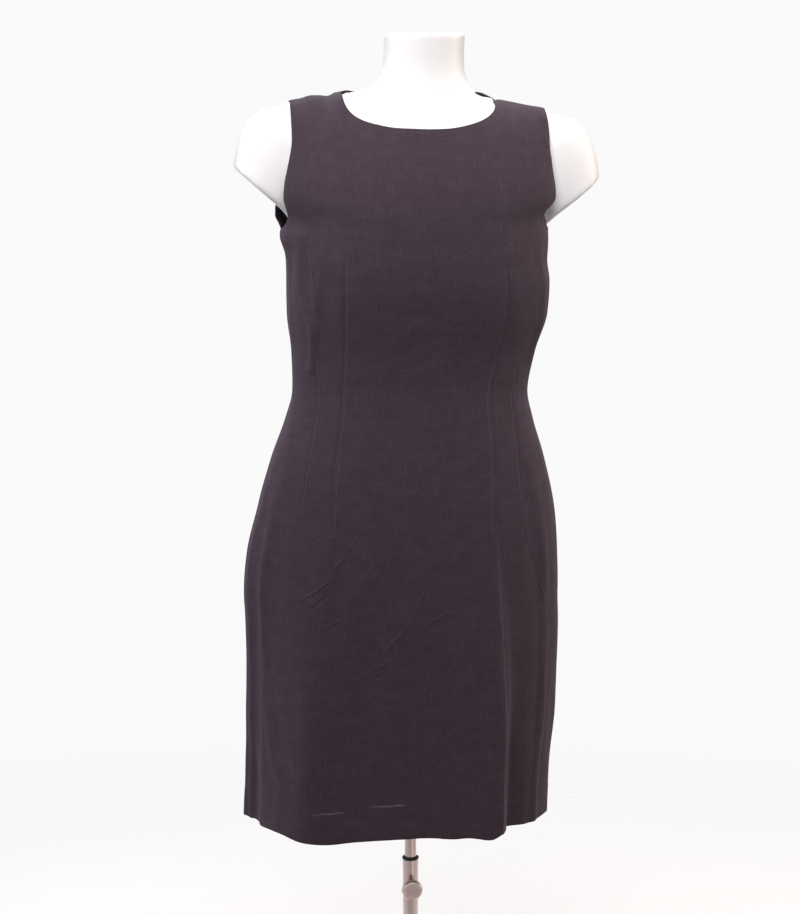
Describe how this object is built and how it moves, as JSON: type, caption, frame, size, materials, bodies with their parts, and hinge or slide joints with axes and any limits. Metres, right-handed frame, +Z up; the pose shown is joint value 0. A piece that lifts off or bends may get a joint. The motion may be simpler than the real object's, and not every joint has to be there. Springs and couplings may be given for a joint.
{
  "type": "sleeveless sheath sundress on a display torso form with stand",
  "caption": "Dark knee-length sleeveless sheath dress with a scooped neck and long darts, worn by a white limbless display form on a telescopic pole stand.",
  "frame": {"origin": "centre of the round base's underside, on the pole's axis", "axes": "+Z up along the pole, -Y towards the front of the dress, +X towards the wearer's left side"},
  "size_m": [0.462, 0.3, 1.508],
  "materials": {
    "cloth": "plain weave, dark aubergine to charcoal, faint sheen",
    "form_white": "smooth satin white shell",
    "chrome": "polished plate",
    "black_ring": "black moulded ring",
    "zip_metal": "dark lacquered metal"
  },
  "bodies": {
    "stand": {"base_plate": "chrome", "outer_tube": "chrome", "collar_ring": "black_ring"},
    "mast": {"inner_pole": "chrome"},
    "figure": {"display_form": "form_white", "form_socket": "chrome", "front_panel": "cloth", "back_panel_left": "cloth", "back_panel_right": "cloth", "zip_slider": "zip_metal"},
    "zip_pull_tab": {"zip_pull": "zip_metal"},
    "knob": {"clamp_knob": "chrome"}
  },
  "joints": [
    {"name": "height_slide", "type": "slide", "parent": "stand", "child": "mast", "axis": [0, 0, 1], "range_m": [-0.15, 0.17]},
    {"name": "figure_turn", "type": "hinge", "parent": "mast", "child": "figure", "pos_m": [0, 0, 0.72], "axis": [0, 0, 1], "continuous": true},
    {"name": "zip_pull_swing", "type": "hinge", "parent": "figure", "child": "zip_pull_tab", "pos_m": [0.00895, 0.09093, 1.40346], "axis": [0.9999, 0.0048, -0.0116], "range_deg": [0, 150]},
    {"name": "knob_turn", "type": "hinge", "parent": "stand", "child": "knob", "pos_m": [0, -0.02, 0.407], "axis": [0, -1, 0], "range_deg": [0, 360]}
  ]
}
